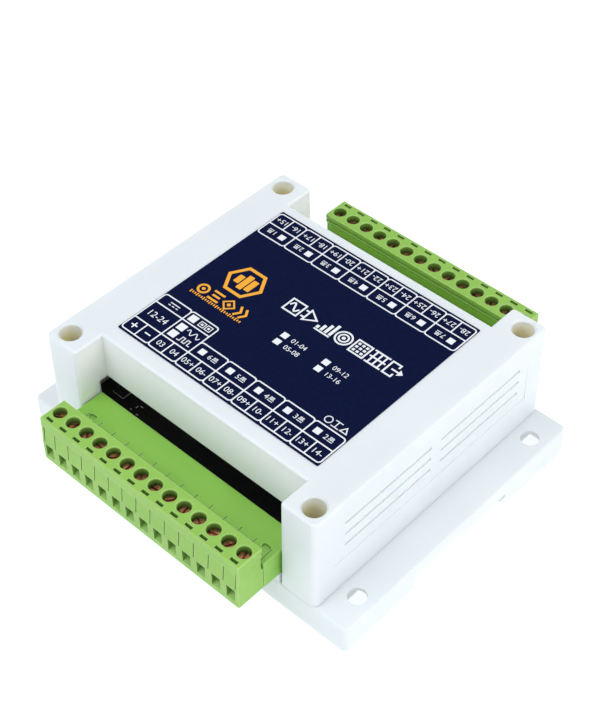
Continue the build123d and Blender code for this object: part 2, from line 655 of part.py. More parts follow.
def make_terminal_screw(number):
    """A captive slotted clamp screw. Each one stands with its slot at its own angle."""
    head = Cylinder(SCREW_HOLE_RADIUS - SCREW_HEAD_GAP, SCREW_HEAD)
    head = chamfer(head.edges().sort_by(Axis.Z)[-1], 0.15)
    slot_angle = 38 + 47 * number
    slot = Box(2 * SCREW_HOLE_RADIUS, SCREW_SLOT, 2 * SCREW_SLOT_DEPTH)
    head -= Pos(0, 0, SCREW_HEAD / 2) * Rot(0, 0, slot_angle) * slot
    shank = Pos(0, 0, -SCREW_SHANK * 2 / 3) * Cylinder(SHANK_HOLE_RADIUS - 0.1, SCREW_SHANK)
    middle_z = SCREW_SEAT + SCREW_LIFT + SCREW_HEAD / 2
    return Pos(pole_positions()[number], -SCREW_Y, middle_z) * (head + shank)


os.makedirs("parts", exist_ok=True)
save("base_shell", make_base_shell())
save("top_cover", make_top_cover())
save("label", make_label())
save("case_screws", make_case_screws())
save("board_screws", make_board_screws())
save("din_clip", make_din_clip())
save("clip_spring", make_clip_spring())
save("pcb", make_pcb())
save("microcontroller", soldered(gull_wing_package(7.0, 7.0, 1.5, 12, 0.5, four_sides=True), [(0, -2)]))
save("rs485_transceiver", soldered(gull_wing_package(4.9, 3.9, 1.6, 4, 1.27), [(-20, -6)]))
amplifier_places = [(-22, 19.5), (0, 19.5), (22, 19.5)]
save("output_amplifiers", soldered(gull_wing_package(8.7, 3.9, 1.6, 7, 1.27), amplifier_places))
save("optocouplers", soldered(gull_wing_package(4.4, 6.4, 2.2, 2, 2.54), [(-34, -10), (-28, -10)]))
diode_places = [(-18, -12.2), (-10, -12.2), (-2, -12.2)]
save("protection_diodes", soldered(gull_wing_package(4.5, 3.5, 2.3, 1, 1), diode_places))
save("voltage_regulator", soldered(gull_wing_package(6.5, 5.6, 2.3, 3, 2.28), [(30, -8)]))
save("electrolytic_capacitors", make_electrolytic_capacitors())
save("power_inductor", make_power_inductor())
save("crystal", make_crystal())
save("dc_dc_module", make_dc_dc_module())
save("input_fuse", make_input_fuse())
save("smd_passives", make_smd_passives())
for place, turn in FRONT_AND_REAR.items():
    save(f"header_{place}", make_header(), turn)
    save(f"header_pins_{place}", make_header_pins(), turn)
    save(f"plug_{place}", make_plug(), turn)
    save(f"clamp_cages_{place}", make_clamp_cages(), turn)
    save(f"contacts_{place}", make_contacts(), turn)
    for number in range(POLES):
        save(f"terminal_screw_{place}_{number + 1:02d}", make_terminal_screw(number), turn)
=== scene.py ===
"""Looks for a rail-mounted PLC module: label, board print, moulding marks, materials and studio.

Lengths are in millimetres until they are handed to Blender, which works in metres.
X runs along the terminal rows, -Y is the power side and +Z is up, as in the CAD frame.
Colours are linear red, green and blue.
"""
import bmesh
import bpy
import json
import math
from mathutils import Matrix, Vector


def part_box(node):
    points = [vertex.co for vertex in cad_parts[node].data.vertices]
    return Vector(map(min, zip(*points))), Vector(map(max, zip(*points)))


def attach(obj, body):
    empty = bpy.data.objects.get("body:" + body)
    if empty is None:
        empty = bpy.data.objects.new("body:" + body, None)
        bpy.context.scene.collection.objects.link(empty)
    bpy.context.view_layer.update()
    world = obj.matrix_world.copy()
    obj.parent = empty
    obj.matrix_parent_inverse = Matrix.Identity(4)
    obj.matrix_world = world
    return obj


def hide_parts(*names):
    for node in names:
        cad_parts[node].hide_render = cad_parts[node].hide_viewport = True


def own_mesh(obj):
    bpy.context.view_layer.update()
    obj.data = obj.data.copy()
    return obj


MM = 0.001

# Camera, as an orbit in degrees round a point of the object
CAMERA_AIM = (-8.73, 10.34, 15.0)
CAMERA_AZIMUTH = 43.21
CAMERA_ELEVATION = 45.59
CAMERA_ROLL = -0.48
CAMERA_DISTANCE = 420.9
CAMERA_LENS = 76.19
CAMERA_SENSOR = 36

# Studio. Its places and sizes are in metres
LIGHT_AIM = (0, 0, 0.02)
SKY_COLOUR = (0.97, 0.99, 1.0)
SKY_HORIZON = 0.28         # strength of the soft light from the side, and from overhead
SKY_ZENITH = 1.04
FLOOR_RADIUS = 20.0        # so large that low views show no edge
FLOOR_TONES = ((0.30, 0.30, 0.30), (0.32, 0.32, 0.32))
FLOOR_GLOW = 0.85          # lifts the pale floor to white
FLOOR_GLOW_COLOUR = (0.94, 0.975, 1)

# Label: a row of terminal cells along each long edge, grouped in blocks of two columns
INK = 0.015                # thickness of printed ink
UNDER_TOP = 0.001          # the printing ends this far under the top of the label's box
FILM_CORNER = 0.4
LINE = 0.40                # width of the cell lines
CELL_RADIUS = 1.15         # outer corners of a block
CELL_INNER_RADIUS = 0.15
MARGIN_X = 0.32            # label edge to the middle of the outer line
MARGIN_Y = 0.82
BLOCKS = 7
ROW = 4.98
SUPPLY_ROW = 7.5           # the taller second row of the first front blocks
SUPPLY_CAP = 3.86          # and their third row
SUPPLY_BLOCKS = 2
DIGIT = 1.85               # height of the terminal numbers
SMALL_DIGIT = 1.7
RANGE_DIGIT = 1.6
SUPPLY_DIGIT = 2.2
FONT_DIGIT = 0.73          # height of a digit in the font as it comes
CHECK_BOX = 1.95
BIG_CHECK_BOX = 2.4
FRONT_CHANNEL = (-2.27, 0.5, 2.15)     # box, number and mark, from the middle of a channel's cell
REAR_CHANNEL = (2.13, -0.55, -2.2)
TITLE_X = -6.2             # first sign of the title
TITLE_Y = 5.83
TITLE_STEP = 5.73
TITLE_LINE = 0.52
RANGES = ((-0.82, -3.64, "01-04"), (-0.82, -6.59, "05-08"),
          (13.45, -3.64, "09-12"), (13.45, -6.59, "13-16"))
RANGE_TEXT_X = 5.0         # from a range's box to the middle of its text
SMALL_SIGNS_Y = -17.6
EMBLEM_X = -22.36
EMBLEM_Y = 3.8
EMBLEM_SIGNS_Y = -5.3
TICKS = 24                 # row of ticks under the emblem's signs
TICK_X = -30.9
TICK_Y = -8.0
TICK_STEP = 0.78
MITRE_LIMIT = 0.4          # keeps the corners of a sharply bent line short
SAME_POINT = 1e-4          # points of an outline that are nearer than this are one

# Board outlines beside the front header
BOARD_LINE = 0.2
FUSE_MARGIN = 0.5
PAD_MARKS = ((-30.0, -29.7, 0.9, 0.25), (-31.0, -30.6, 0.25, 0.9),
             (-31.7, -32.2, 0.7, 0.25), (-29.0, -32.5, 0.9, 0.25))

# Moulding marks on the roof of the rail groove
GROOVE_ROOF = 4.4
MARK_ROOT = 0.05           # how far a mark reaches into the roof
EJECTOR_RADIUS = 2.4
EJECTOR_LINE = 0.18
EJECTOR_DROP = 0.06
EJECTOR_INSET = (12, 6)    # from the groove's ends and sides
EJECTOR_INNER = 0.35       # places of the inner rings, as a share of half the groove
GATE_RADIUS = 0.9
GATE_DROP = 0.35

# Coil of the rail clip's spring
SPRING_WIRE = 0.18         # radius of the wire
SPRING_TURNS = 9
SPRING_STEPS = 24          # in a turn
SPRING_SIDES = 10          # of the wire

# Rounding of sharp moulded edges
BEVELLED_NODES = {"base_shell": 0.2, "din_clip": 0.2}
BEVEL_ANGLE = 40
WELD_GAP = 0.002
GREEN_EDGE = 0.35
SCREW_EDGE = 0.06

# Painted light and shade: light caught between near walls, shade in green hollows, and highlights
# on green edges
CAVITY_REACH = 7.0         # walls this near get painted caught light and shade
NARROW_REACH = 2.0         # gaps as narrow as this leave white plastic white, and get painted shade on green
WELL_FOOT_PAINTED_LIGHT = (0.96, 0.85, 0.46)
WELL_HEAD_PAINTED_LIGHT = (0.88, 0.87, 0.78)
GREEN_PAINTED_SHADE = (0.045, 0.115, 0.018)
GREEN_EDGE_PAINTED_HIGHLIGHT = (0.68, 0.90, 0.42)

# Painted light on the cover's walls over the terminal bays: a paler white, fading towards the top,
# that stands in for light these shaded walls lack
BAY_PAINTED_LIGHT = (0.95, 0.945, 0.98)
BAY_HALF = 36.0            # half the length of a bay
BAY_WALL_Y = 35.2          # the walls lie at least this far out
BAY_FOOT_Z = 21.0
BAY_LIT_Z = 36.0           # the fade starts here
BAY_HEAD_Z = 43.0          # and would end here, over the cover's top
BAY_FADE = 0.5

# The lighter and the darker tone of each material
TONES = {
    "white_abs": ((0.780, 0.816, 0.838), (0.750, 0.791, 0.818)),
    "clip_white": ((0.74, 0.79, 0.78), (0.70, 0.76, 0.75)),
    "label_film": ((0.0046, 0.0084, 0.042), (0.0034, 0.0064, 0.034)),
    "plug_green": ((0.285, 0.530, 0.082), (0.257, 0.495, 0.070)),
    "header_green": ((0.270, 0.560, 0.075), (0.240, 0.520, 0.065)),
    "screw_brass": ((0.56, 0.27, 0.13), (0.22, 0.085, 0.045)),
    "zinc_screw": ((0.62, 0.62, 0.60), (0.42, 0.42, 0.41)),
    "spring_steel": ((0.56, 0.57, 0.60), (0.38, 0.39, 0.42)),
    "tinned_metal": ((0.74, 0.73, 0.70), (0.60, 0.59, 0.56)),
    "board_black": ((0.006, 0.006, 0.0065), (0.0035, 0.0035, 0.004)),
    "chip_epoxy": ((0.030, 0.030, 0.032), (0.018, 0.018, 0.020)),
    "capacitor_can": ((0.78, 0.79, 0.81), (0.62, 0.63, 0.66)),
    "crystal_can": ((0.70, 0.69, 0.66), (0.55, 0.54, 0.52)),
    "ferrite": ((0.075, 0.075, 0.078), (0.045, 0.045, 0.048)),
    "ceramic_chip": ((0.30, 0.22, 0.14), (0.20, 0.14, 0.09)),
    "ink_white": ((0.86, 0.88, 0.90), (0.80, 0.82, 0.85)),
    "ink_orange": ((0.95, 0.42, 0.012), (0.88, 0.37, 0.010)),
    "board_print": ((0.80, 0.79, 0.76), (0.62, 0.61, 0.58)),
}

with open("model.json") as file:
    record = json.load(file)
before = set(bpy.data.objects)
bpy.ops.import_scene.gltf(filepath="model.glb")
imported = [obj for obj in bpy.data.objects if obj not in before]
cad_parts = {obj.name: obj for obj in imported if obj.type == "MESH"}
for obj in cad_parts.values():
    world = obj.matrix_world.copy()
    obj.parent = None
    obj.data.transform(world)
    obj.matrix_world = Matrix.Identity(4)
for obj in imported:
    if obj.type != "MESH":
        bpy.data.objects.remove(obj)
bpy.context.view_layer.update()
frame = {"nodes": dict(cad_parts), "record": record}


# ------------------------------------------------------- flat shapes, as lists of closed outlines

def arc(cx, cy, radius, start, stop, steps=6):
    """Points on a circle from start to stop degrees."""
    points = []
    for i in range(steps + 1):
        angle = math.radians(start + (stop - start) * i / steps)
        points.append((cx + radius * math.cos(angle), cy + radius * math.sin(angle)))
    return points


def rounded_rect(x, y, radii):
    """One outline between the (low, high) pairs, with a radius for each corner: SW, SE, NE, NW."""
    sw, se, ne, nw = radii
    outline = arc(x[0] + sw, y[0] + sw, sw, 180, 270)
    outline += arc(x[1] - se, y[0] + se, se, 270, 360)
    outline += arc(x[1] - ne, y[1] - ne, ne, 0, 90)
    outline += arc(x[0] + nw, y[1] - nw, nw, 90, 180)
    return outline


def bar(cx, cy, width, height):
    """A plain rectangle about its centre."""
    w = width / 2
    h = height / 2
    return [[(cx - w, cy - h), (cx + w, cy - h), (cx + w, cy + h), (cx - w, cy + h)]]


def polygon(cx, cy, radius, sides, turn=0.0):
    """A regular polygon whose first corner stands at turn degrees. With many sides it is a disc."""
    return [arc(cx, cy, radius, turn, turn + 360 * (sides - 1) / sides, sides - 1)]


def ring(cx, cy, radius, width, sides=40):
    """A circle or polygon line. Its second outline is the hole."""
    return polygon(cx, cy, radius, sides) + polygon(cx, cy, radius - width, sides)


def box_line(cx, cy, width, height, line):
    """A rectangular line about its centre."""
    return bar(cx, cy, width, height) + bar(cx, cy, width - 2 * line, height - 2 * line)


def stroke(points, width):
    """An open line through the points, with mitred corners, as one closed outline."""
    path = [Vector(p) for p in points]
    left = []
    right = []
    for i, point in enumerate(path):
        before = (point - path[i - 1]).normalized() if i > 0 else None
        after = (path[i + 1] - point).normalized() if i < len(path) - 1 else None
        edge = before or after
        along = (before + after).normalized() if before and after else edge
        normal = Vector((-along.y, along.x))
        stretch = 1 / max(MITRE_LIMIT, normal.dot(Vector((-edge.y, edge.x))))
        left.append(point + normal * width / 2 * stretch)
        right.append(point - normal * width / 2 * stretch)
    return [[tuple(p) for p in left + right[::-1]]]


def wave(cx, cy, width, height, line, turns=1.0, steps=24):
    """A sine line."""
    points = []
    for i in range(steps + 1):
        t = i / steps
        points.append((cx + width * (t - 0.5), cy + height / 2 * math.sin(2 * math.pi * turns * t)))
    return stroke(points, line)


def square_wave(cx, cy, width, height, line):
    """A stepped line with two pulses."""
    step = width / 5
    left = cx - width / 2
    low = cy - height / 2
    high = cy + height / 2
    points = [(left, low), (left + step, low), (left + step, high), (left + 2 * step, high)]
    points += [(left + 2 * step, low), (left + 3 * step, low), (left + 3 * step, high)]
    points += [(left + 4 * step, high), (left + 4 * step, low), (left + 5 * step, low)]
    return stroke(points, line)


def moved(outlines, dx, dy):
    """The outlines shifted by a step."""
    return [[(x + dx, y + dy) for x, y in outline] for outline in outlines]


def turned_round(outlines, cx, cy):
    """The outlines turned half a turn about a point."""
    return [[(2 * cx - x, 2 * cy - y) for x, y in outline] for outline in outlines]


# ---------------------------------------------------------------- meshes

def mesh_from_outlines(outlines):
    """A filled prism mesh, 1 unit thick about z = 0. Outlines inside others are holes."""
    curve = bpy.data.curves.new("outlines", "CURVE")
    curve.dimensions = "2D"
    curve.fill_mode = "BOTH"
    curve.extrude = 0.5
    for outline in outlines:
        spline = curve.splines.new("POLY")
        spline.points.add(len(outline) - 1)
        for point, (x, y) in zip(spline.points, outline):
            point.co = (x, y, 0, 1)
        spline.use_cyclic_u = True
    return mesh_from_curve(curve)


def mesh_from_text(text, height):
    """A number as a filled prism mesh, 1 unit thick, centred, whose digits have this height."""
    curve = bpy.data.curves.new("number", "FONT")
    curve.body = text
    curve.extrude = 0.5
    curve.resolution_u = 4
    curve.align_x = "CENTER"
    mesh = mesh_from_curve(curve)
    across = [vertex.co.x for vertex in mesh.vertices]
    middle = (max(across) + min(across)) / 2
    scale = height / FONT_DIGIT
    centring = Matrix.Translation((-middle, -FONT_DIGIT / 2, 0))
    mesh.transform(Matrix.Diagonal((scale, scale, 1, 1)) @ centring)
    return mesh


def mesh_from_curve(curve):
    """The mesh that a curve shows, with the curve itself removed."""
    holder = bpy.data.objects.new("curve", curve)
    bpy.context.scene.collection.objects.link(holder)
    bpy.context.view_layer.update()
    shown = holder.evaluated_get(bpy.context.evaluated_depsgraph_get())
    mesh = bpy.data.meshes.new_from_object(shown)
    bpy.data.objects.remove(holder)
    bpy.data.curves.remove(curve)
    return mesh


def flat_piece(name, meshes, low, high, body, material):
    """One piece from prism meshes, stood between two heights in millimetres."""
    form = bmesh.new()
    for mesh in meshes:
        form.from_mesh(mesh)
        bpy.data.meshes.remove(mesh)
    bmesh.ops.remove_doubles(form, verts=form.verts, dist=SAME_POINT)
    for vertex in form.verts:
        vertex.co.z = high if vertex.co.z > 0 else low
        vertex.co *= MM
    bmesh.ops.recalc_face_normals(form, faces=form.faces)
    return finished_piece(name, form, body, material)


def finished_piece(name, form, body, material):
    """The object for a bmesh, riding on a body and material."""
    mesh = bpy.data.meshes.new(name)
    form.to_mesh(mesh)
    form.free()
    piece = bpy.data.objects.new(name, mesh)
    bpy.context.scene.collection.objects.link(piece)
    piece.data.materials.append(material)
    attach(piece, body)
    return piece


# ---------------------------------------------------------------- materials

class Surface:
    """A Principled material with short ways to add noise to its colour, roughness and bump."""

    def __init__(self, name, roughness=0.5, metallic=0.0, specular=0.5, subsurface=0.0, depth=1.2,
                 ior=1.5, edge=0.0):
        """depth is how far light spreads under the skin, and edge the rounding of sharp edges."""
        self.material = bpy.data.materials.new(name)
        self.material.use_nodes = True
        self.tree = self.material.node_tree
        self.shader = self.tree.nodes["Principled BSDF"]
        self.shader.inputs["Roughness"].default_value = roughness
        self.shader.inputs["Metallic"].default_value = metallic
        self.shader.inputs["IOR"].default_value = ior
        self.shader.inputs["Specular IOR Level"].default_value = specular
        self.shader.inputs["Subsurface Weight"].default_value = subsurface
        self.shader.inputs["Subsurface Radius"].default_value = (1.0, 0.85, 0.7)
        self.shader.inputs["Subsurface Scale"].default_value = depth * MM
        self.coordinates = self.tree.nodes.new("ShaderNodeTexCoord").outputs["Object"]
        self.bumps = None
        if edge:
            rounding = self.node("ShaderNodeBevel", samples=4)
            rounding.inputs["Radius"].default_value = edge * MM
            self.rounded = rounding.outputs["Normal"]
            self.bumps = self.rounded

    def link(self, source, target):
        """Joins an output to an input."""
        self.tree.links.new(source, target)

    def node(self, kind, **settings):
        """A new node with these settings."""
        made = self.tree.nodes.new(kind)
        for key, value in settings.items():
            setattr(made, key, value)
        return made

    def noise(self, size, detail=2.0, stretch=(1, 1, 1)):
        """Noise whose features are about this many millimetres across."""
        mapping = self.node("ShaderNodeMapping")
        mapping.inputs["Scale"].default_value = stretch
        texture = self.node("ShaderNodeTexNoise")
        texture.inputs["Scale"].default_value = 1 / (size * MM)
        texture.inputs["Detail"].default_value = detail
        self.link(self.coordinates, mapping.inputs["Vector"])
        self.link(mapping.outputs["Vector"], texture.inputs["Vector"])
        return texture.outputs["Fac"]

    def ramp(self, factor, low, high, values):
        """Maps a factor between low and high to two colours or two numbers."""
        ramp = self.node("ShaderNodeValToRGB")
        for element, position, value in zip(ramp.color_ramp.elements, (low, high), values):
            element.position = position
            element.color = (*value, 1) if hasattr(value, "__len__") else (value, value, value, 1)
        self.link(factor, ramp.inputs["Fac"])
        return ramp.outputs["Color"]

    def mix(self, factor, a, b):
        """Mixes two colours by a factor. Each of the three can be an output or a fixed value."""
        mixer = self.node("ShaderNodeMix", data_type="RGBA")
        sockets = (mixer.inputs[0], mixer.inputs[6], mixer.inputs[7])
        for value, socket in zip((factor, a, b), sockets):
            if isinstance(value, bpy.types.NodeSocket):
                self.link(value, socket)
            elif hasattr(value, "__len__"):
                socket.default_value = (*value, 1)
            else:
                socket.default_value = value
        return mixer.outputs[2]

    def colour(self, source):
        """Makes an output the surface's colour."""
        self.link(source, self.shader.inputs["Base Color"])

    def roughness(self, factor, low, high):
        """Lets the roughness run between two values with a factor."""
        self.link(self.ramp(factor, 0.3, 0.7, (low, high)), self.shader.inputs["Roughness"])

    def bump(self, factor, height):
        """Adds relief of this height in millimetres."""
        bump = self.node("ShaderNodeBump")
        bump.inputs["Distance"].default_value = height * MM
        self.link(factor, bump.inputs["Height"])
        if self.bumps:
            self.link(self.bumps, bump.inputs["Normal"])
        self.bumps = bump.outputs["Normal"]
        self.link(self.bumps, self.shader.inputs["Normal"])

    def cavity(self, reach):
        """1 in the open, and less where the part's own walls within this reach close a point in."""
        occlusion = self.node("ShaderNodeAmbientOcclusion", samples=6, only_local=True)
        occlusion.inputs["Distance"].default_value = reach * MM
        return occlusion.outputs["AO"]

    def bay(self):
        """Mask of painted light: 1 on the cover's walls over a terminal bay, less towards the top,
        and 0 elsewhere.
        """
        split = self.node("ShaderNodeSeparateXYZ")
        self.link(self.coordinates, split.inputs["Vector"])
        x = self.math("ABSOLUTE", split.outputs["X"])
        y = self.math("ABSOLUTE", split.outputs["Y"])
        across = self.span(x, BAY_HALF + BAY_FADE, BAY_HALF)
        inward = self.span(y, BAY_WALL_Y - BAY_FADE, BAY_WALL_Y)
        foot = self.span(split.outputs["Z"], BAY_FOOT_Z - BAY_FADE, BAY_FOOT_Z)
        head = self.span(split.outputs["Z"], BAY_HEAD_Z, BAY_LIT_Z)
        walls = self.math("MULTIPLY", across, inward)
        heights = self.math("MULTIPLY", foot, head)
        return self.math("MULTIPLY", walls, heights)

    def span(self, value, start, end):
        """0 up to start and 1 from end on, both in millimetres."""
        span = self.node("ShaderNodeMapRange")
        span.inputs["From Min"].default_value = start * MM
        span.inputs["From Max"].default_value = end * MM
        self.link(value, span.inputs["Value"])
        return span.outputs["Result"]

    def edges(self, low, high, most):
        """Up to most where the rounded normal turns away from the face, which is at sharp edges."""
        geometry = self.node("ShaderNodeNewGeometry")
        turn = self.node("ShaderNodeVectorMath", operation="DOT_PRODUCT")
        self.link(geometry.outputs["True Normal"], turn.inputs[0])
        self.link(self.rounded, turn.inputs[1])
        return self.ramp(turn.outputs["Value"], low, high, (most, 0.0))

    def math(self, operation, a, b=0.0):
        """The result of a math node on outputs or fixed numbers."""
        node = self.node("ShaderNodeMath", operation=operation)
        for value, socket in ((a, node.inputs[0]), (b, node.inputs[1])):
            if isinstance(value, bpy.types.NodeSocket):
                self.link(value, socket)
            else:
                socket.default_value = value
        return node.outputs[0]


def white_abs(name, light, dark):
    """Cool white ABS with a fine eroded texture, painted cream light and shade inside its wells and
    hollows, and painted light on the bay walls.
    """
    s = Surface(name, roughness=0.4, subsurface=0.35, ior=1.52, depth=3.0)
    cloud = s.noise(26, 2.0)
    # painted light: the bay walls get a paler white where they sit in the shade of the terminals
    skin = s.mix(s.bay(), s.ramp(cloud, 0.35, 0.65, (light, dark)), BAY_PAINTED_LIGHT)
    # painted caught light and shade: cream inside wells, grooves and seams, deeper towards their
    # foot, from an occlusion mask
    open_sky = s.cavity(CAVITY_REACH)
    well_painted_light = s.ramp(open_sky, 0.10, 0.42, (WELL_FOOT_PAINTED_LIGHT, WELL_HEAD_PAINTED_LIGHT))
    opening = s.ramp(open_sky, 0.26, 0.50, (0.0, 1.0))
    narrow = s.ramp(s.cavity(NARROW_REACH), 0.45, 0.75, (1.0, 0.0))
    s.colour(s.mix(s.math("MAXIMUM", opening, narrow), well_painted_light, skin))
    s.roughness(s.noise(4, 3.0), 0.34, 0.44)
    s.bump(s.noise(0.35, 2.0), 0.004)
    s.bump(s.noise(9, 1.0), 0.02)
    return s.material


def green_plastic(name, light, dark):
    """Satin green polyamide with faint flow clouding, a painted highlight on outer edges and
    painted shade in hollows.
    """
    s = Surface(name, roughness=0.42, specular=0.45, subsurface=0.10, ior=1.53, edge=GREEN_EDGE)
    cloud = s.noise(7, 3.0, (0.4, 1, 1))
    skin = s.ramp(cloud, 0.3, 0.7, (dark, light))
    near_sky = s.cavity(NARROW_REACH)
    # painted highlight: paler green on sharp outer edges, kept out of hollows
    edges = s.edges(0.84, 0.99, 0.9)
    outside = s.ramp(near_sky, 0.80, 0.98, (0.0, 1.0))
    skin_with_painted_highlight = s.mix(s.math("MULTIPLY", edges, outside), skin, GREEN_EDGE_PAINTED_HIGHLIGHT)
    # painted shade: dark green in hollows and narrow gaps, from occlusion masks
    opening = s.ramp(s.cavity(CAVITY_REACH), 0.20, 0.54, (0.0, 1.0))
    narrow = s.ramp(near_sky, 0.40, 0.72, (0.7, 0.0))
    s.colour(s.mix(s.math("MAXIMUM", opening, narrow), GREEN_PAINTED_SHADE, skin_with_painted_highlight))
    s.roughness(s.noise(2.2, 3.0), 0.34, 0.48)
    s.bump(s.noise(0.25, 2.0), 0.004)
    return s.material


def screw_metal(name, light, dark, rough):
    """Passivated metal with turning marks and tarnish."""
    s = Surface(name, roughness=rough, metallic=1.0, edge=SCREW_EDGE)
    tarnish = s.noise(0.9, 4.0)
    s.colour(s.ramp(tarnish, 0.35, 0.65, (dark, light)))
    s.roughness(s.noise(0.4, 3.0), rough - 0.1, rough + 0.15)
    s.bump(s.noise(0.12, 2.0), 0.01)
    return s.material


def drawn_metal(name, light, dark, rough):
    """Bright metal with fine level lines."""
    s = Surface(name, roughness=rough, metallic=1.0)
    grain = s.noise(1.6, 4.0, (1, 1, 8))
    s.colour(s.ramp(grain, 0.3, 0.7, (dark, light)))
    s.roughness(grain, rough - 0.06, rough + 0.1)
    s.bump(grain, 0.004)
    return s.material


def label_film(name, light, dark):
    """Navy printed film with a faint grain under a satin laminate."""
    s = Surface(name, roughness=0.45, specular=0.02)
    s.colour(s.ramp(s.noise(1.1, 3.0), 0.3, 0.7, (dark, light)))
    s.roughness(s.noise(3, 2.0), 0.42, 0.52)
    s.bump(s.noise(0.3, 2.0), 0.003)
    return s.material


def ink(name, light, dark, rough):
    """Screen-printed ink with slightly uneven cover."""
    s = Surface(name, roughness=rough)
    s.colour(s.ramp(s.noise(0.5, 3.0), 0.3, 0.7, (dark, light)))
    s.roughness(s.noise(0.6, 2.0), rough - 0.06, rough + 0.06)
    s.bump(s.noise(0.15, 2.0), 0.003)
    return s.material


def solder_mask(name, light, dark):
    """Black board coating over faintly raised copper traces."""
    s = Surface(name, roughness=0.45)
    s.colour(s.ramp(s.noise(2.5, 3.0), 0.35, 0.65, (dark, light)))
    tracks = s.node("ShaderNodeTexBrick")
    tracks.inputs["Scale"].default_value = 1 / (9 * MM)
    tracks.inputs["Mortar Size"].default_value = 0.03
    s.link(s.coordinates, tracks.inputs["Vector"])
    s.bump(tracks.outputs["Fac"], 0.03)
    s.roughness(s.noise(1.5, 2.0), 0.38, 0.5)
    return s.material


def moulded_body(name, light, dark):
    """Small moulded or sintered part with a fine speckle."""
    rough = 0.55
    s = Surface(name, roughness=rough)
    s.colour(s.ramp(s.noise(0.3, 4.0), 0.35, 0.65, (dark, light)))
    s.roughness(s.noise(0.8, 2.0), rough - 0.08, rough + 0.08)
    s.bump(s.noise(0.1, 2.0), 0.008)
    return s.material


def make_materials():
    """One material for each of the record's slots, and the printing inks."""
    kinds = (
        ("white_abs", white_abs, "white_abs_moulded"),
        ("clip_white", white_abs, "clip_white_moulded"),
        ("label_film", label_film, "label_film_navy"),
        ("plug_green", green_plastic, "plug_green_polyamide"),
        ("header_green", green_plastic, "header_green_polyamide"),
        ("screw_brass", screw_metal, "screw_yellow_passivated", 0.32),
        ("zinc_screw", screw_metal, "screw_zinc_plated", 0.32),
        ("spring_steel", drawn_metal, "spring_drawn_wire", 0.3),
        ("tinned_metal", drawn_metal, "contact_tin_plated", 0.32),
        ("board_black", solder_mask, "board_black_mask"),
        ("chip_epoxy", moulded_body, "chip_moulded_epoxy"),
        ("capacitor_can", drawn_metal, "capacitor_aluminium", 0.25),
        ("crystal_can", drawn_metal, "crystal_nickel_can", 0.28),
        ("ferrite", moulded_body, "inductor_ferrite"),
        ("ceramic_chip", moulded_body, "ceramic_chip_body"),
        ("ink_white", ink, "ink_white", 0.4),
        ("ink_orange", ink, "ink_orange", 0.4),
        ("board_print", ink, "board_print_white", 0.6),
    )
    return {key: maker(name, *TONES[key], *rough) for key, maker, name, *rough in kinds}


def dress_cad_nodes(materials):
    """Gives each CAD node the material of its record slot, and some of them rounded edges."""
    slots = {part["node"]: part["material_slot"] for part in frame["record"]["subparts"]}
    for name, node in frame["nodes"].items():
        for place in node.material_slots:
            place.link = "OBJECT"
            place.material = materials[slots[name]]
        if name in BEVELLED_NODES:
            soften(node, BEVELLED_NODES[name])


def soften(node, width):
    """Rounds the sharp edges of a CAD node without touching its mesh."""
    weld = node.modifiers.new("weld", "WELD")
    weld.merge_threshold = WELD_GAP * MM
    bevel = node.modifiers.new("bevel", "BEVEL")
    bevel.width = width * MM
    bevel.segments = 2
    bevel.limit_method = "ANGLE"
    bevel.angle_limit = math.radians(BEVEL_ANGLE)
    bevel.harden_normals = True


# ---------------------------------------------------------------- label

class Print:
    """What is printed on the label in one ink: outlines and numbers."""

    def __init__(self):
        self.outlines = []
        self.meshes = []

    def draw(self, outlines):
        """Adds closed outlines, of which those inside others are holes."""
        self.outlines += outlines

    def number(self, text, cx, cy, height, turned=False):
        """Adds a number about its centre, turned half round if it is read from behind."""
        mesh = mesh_from_text(text, height)
        if turned:
            mesh.transform(Matrix.Rotation(math.pi, 4, "Z"))
        mesh.transform(Matrix.Translation((cx, cy, 0)))
        self.meshes.append(mesh)

    def piece(self, name, low, high, slot, material):
        """Makes one piece of all that was added."""
        meshes = [mesh_from_outlines(self.outlines)] + self.meshes
        return flat_piece(name, meshes, low, high, "case", material)


def block_row_outline(edges, low, tops):
    """The outside of a row of touching rounded blocks, which may have different heights."""
    half = LINE / 2
    radius = CELL_RADIUS
    beside_equal = math.degrees(math.acos(1 - half / radius))
    beside_taller = math.degrees(math.acos(1 - LINE / radius))
    last = len(tops) - 1

    def cut(own, other):
        """How many degrees of a top corner's arc its neighbour hides."""
        if other is None or other < own:
            return 0
        return beside_equal if other == own else beside_taller

    outline = []
    for i in range(len(tops)):
        left = edges[i] - half + radius
        right = edges[i + 1] + half - radius
        foot = low - half + radius
        outline += arc(left, foot, radius, 180 + (beside_equal if i > 0 else 0), 270)
        outline += arc(right, foot, radius, 270, 360 - (beside_equal if i < last else 0))
    for i in reversed(range(len(tops))):
        left = edges[i] - half + radius
        right = edges[i + 1] + half - radius
        head = tops[i] + half - radius
        outline += arc(right, head, radius, cut(tops[i], tops[i + 1] if i < last else None), 90)
        outline += arc(left, head, radius, 90, 180 - cut(tops[i], tops[i - 1] if i > 0 else None))
    return outline


def cell_hole(x, y, round_corners):
    """The clear inside of a cell. Corners that are also its block's corners are rounder."""
    half = LINE / 2
    radii = [CELL_RADIUS - LINE if is_round else CELL_INNER_RADIUS for is_round in round_corners]
    return rounded_rect((x[0] + half, x[1] - half), (y[0] + half, y[1] - half), radii)


